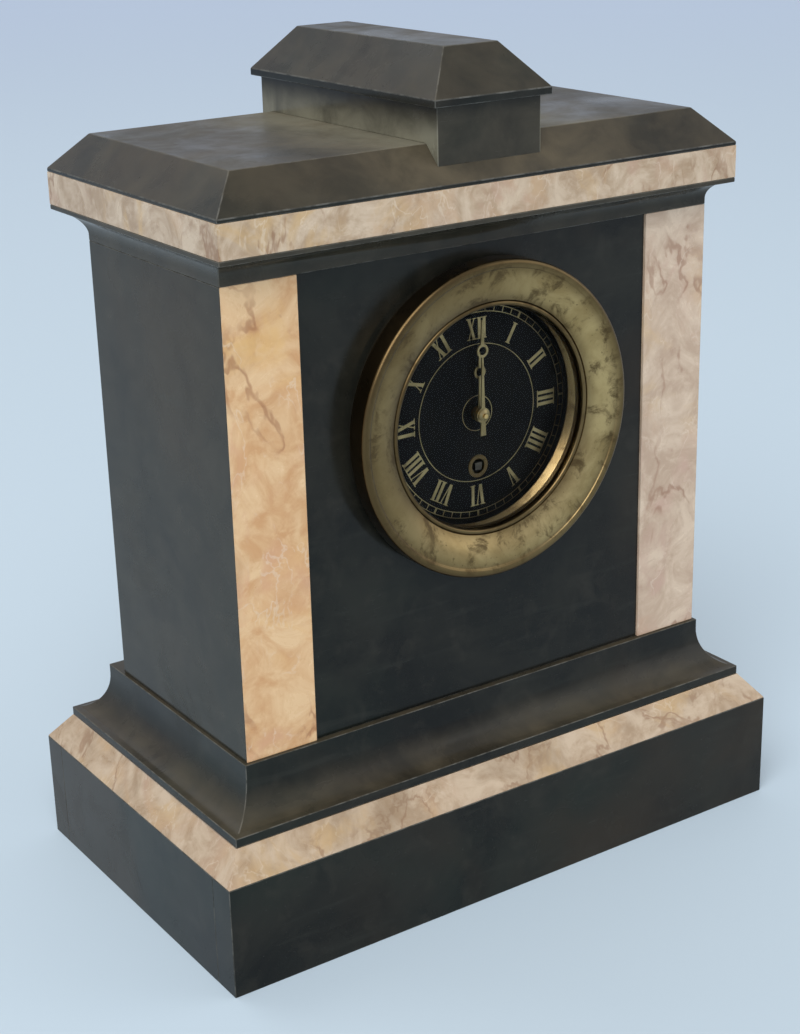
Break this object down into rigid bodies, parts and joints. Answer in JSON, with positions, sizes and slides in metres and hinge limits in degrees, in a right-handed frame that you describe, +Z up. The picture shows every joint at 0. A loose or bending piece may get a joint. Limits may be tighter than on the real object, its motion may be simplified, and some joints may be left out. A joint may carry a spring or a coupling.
{
  "type": "mantel clock",
  "caption": "Black slate mantel clock with tan marble bands and pilasters, a brass bezel with a hinged glass, a black dial and a pendulum movement inside.",
  "frame": {"origin": "centre of the base at its underside", "axes": "+Z up, the dial faces -Y, +X to the right as the front is seen"},
  "size_m": [0.294, 0.172, 0.366],
  "materials": {
    "slate": "polished",
    "pilaster_marble": "polished",
    "band_marble": "polished",
    "gilt_brass": "aged gilt",
    "brass": "lacquered",
    "steel": "blued and polished",
    "dial_black": "semi-gloss",
    "clear_glass": "polished"
  },
  "bodies": {
    "case": {"back_cock": "brass", "back_panel": "slate", "base_marble_band": "band_marble", "bezel_hinge_pin": "steel", "bezel_seat_ring": "gilt_brass", "case_straps": "brass", "click_spring": "steel", "cornice_marble_band": "band_marble", "cornice_moulding": "slate", "dial": "dial_black", "dial_slip_ring": "gilt_brass", "foot_moulding": "slate", "front_panel": "slate", "front_plate": "brass", "left_panel": "slate", "movement_pillars": "brass", "movement_screws": "steel", "pilaster_left": "pilaster_marble", "pilaster_right": "pilaster_marble", "pillar_nuts": "brass", "plinth_back_slab": "slate", "plinth_front_slab": "slate", "plinth_side_slabs": "slate", "rear_hinge_pin": "steel", "rear_plate": "brass", "rear_ring": "brass", "right_panel": "slate", "roof_slab": "slate", "strap_screws": "steel", "top_block": "slate", "top_block_lid": "slate", "winding_hole_grommet": "gilt_brass"},
    "bezel": {"bezel": "gilt_brass", "bezel_glass": "clear_glass", "glass_retaining_ring": "gilt_brass"},
    "rear_door": {"rear_door": "brass", "rear_door_knob": "brass"},
    "centre_arbor": {"centre_wheel": "brass", "cannon_pinion": "brass", "minute_hand": "gilt_brass", "hand_collet": "gilt_brass"},
    "hour_work": {"hour_wheel": "brass", "hour_hand": "gilt_brass"},
    "minute_work": {"minute_wheel": "brass"},
    "intermediate_arbor": {"intermediate_wheel": "brass"},
    "barrel": {"going_barrel": "brass", "barrel_cap": "brass", "mainspring": "steel"},
    "third_arbor": {"third_wheel": "brass"},
    "escape_arbor": {"escape_wheel": "brass"},
    "barrel_arbor": {"winding_arbor": "steel", "ratchet_wheel": "steel"},
    "click": {"click": "steel"},
    "anchor": {"anchor_and_crutch": "steel"},
    "pendulum": {"suspension_spring": "steel", "pendulum_rod": "brass", "pendulum_bob": "brass"},
    "rating_nut": {"rating_nut": "brass"}
  },
  "joints": [
    {"name": "bezel_hinge", "type": "hinge", "parent": "case", "child": "bezel", "pos_m": [0.0698, -0.0639, 0.214], "axis": [0, 0, 1], "range_deg": [0, 110]},
    {"name": "rear_door_hinge", "type": "hinge", "parent": "case", "child": "rear_door", "pos_m": [-0.0486, 0.0538, 0.214], "axis": [0, 0, 1], "range_deg": [0, 110]},
    {"name": "minute_hand_turn", "type": "hinge", "parent": "case", "child": "centre_arbor", "pos_m": [0, -0.05, 0.214], "axis": [0, 1, 0], "continuous": true},
    {"name": "hour_hand_turn", "type": "hinge", "parent": "case", "child": "hour_work", "pos_m": [0, -0.052, 0.214], "axis": [0, 1, 0], "continuous": true},
    {"name": "minute_wheel_turn", "type": "hinge", "parent": "case", "child": "minute_work", "pos_m": [-0.012, -0.05, 0.214], "axis": [0, 1, 0], "continuous": true},
    {"name": "intermediate_wheel_turn", "type": "hinge", "parent": "case", "child": "intermediate_arbor", "pos_m": [0.0153, -0.03, 0.20705], "axis": [0, 1, 0], "continuous": true},
    {"name": "barrel_turn", "type": "hinge", "parent": "case", "child": "barrel", "pos_m": [0, -0.03, 0.1905], "axis": [0, 1, 0], "continuous": true},
    {"name": "third_wheel_turn", "type": "hinge", "parent": "case", "child": "third_arbor", "pos_m": [-0.00985, -0.03, 0.22593], "axis": [0, 1, 0], "continuous": true},
    {"name": "escape_wheel_turn", "type": "hinge", "parent": "case", "child": "escape_arbor", "pos_m": [0, -0.03, 0.2338], "axis": [0, 1, 0], "continuous": true},
    {"name": "winding_turn", "type": "hinge", "parent": "case", "child": "barrel_arbor", "pos_m": [0, -0.03, 0.1905], "axis": [0, 1, 0], "range_deg": [0, 1800]},
    {"name": "click_lift", "type": "hinge", "parent": "case", "child": "click", "pos_m": [-0.01184, -0.049, 0.19481], "axis": [0, -1, 0], "range_deg": [0, 7], "stiffness_Nm_per_rad": 0.002, "springref_deg": -5.73, "deforming": ["click_spring"]},
    {"name": "pendulum_swing", "type": "hinge", "parent": "case", "child": "pendulum", "pos_m": [0, 0.0022, 0.25], "axis": [0, 1, 0], "range_deg": [-3, 3]},
    {"name": "anchor_rock", "type": "hinge", "parent": "case", "child": "anchor", "pos_m": [0, -0.03, 0.25], "axis": [0, 1, 0], "range_deg": [-3, 3]},
    {"name": "rating_nut_turn", "type": "hinge", "parent": "pendulum", "child": "rating_nut", "pos_m": [0, 0.0022, 0.115], "axis": [0, 0, 1], "continuous": true}
  ],
  "couplings": [
    {"joint": "hour_hand_turn", "follows": "minute_hand_turn", "ratio": 0.083333},
    {"joint": "minute_wheel_turn", "follows": "minute_hand_turn", "ratio": -0.33333},
    {"joint": "intermediate_wheel_turn", "follows": "minute_hand_turn", "ratio": -0.16667},
    {"joint": "barrel_turn", "follows": "minute_hand_turn", "ratio": 0.027778},
    {"joint": "third_wheel_turn", "follows": "minute_hand_turn", "ratio": -12},
    {"joint": "escape_wheel_turn", "follows": "minute_hand_turn", "ratio": 132},
    {"joint": "anchor_rock", "follows": "pendulum_swing", "ratio": 1}
  ]
}
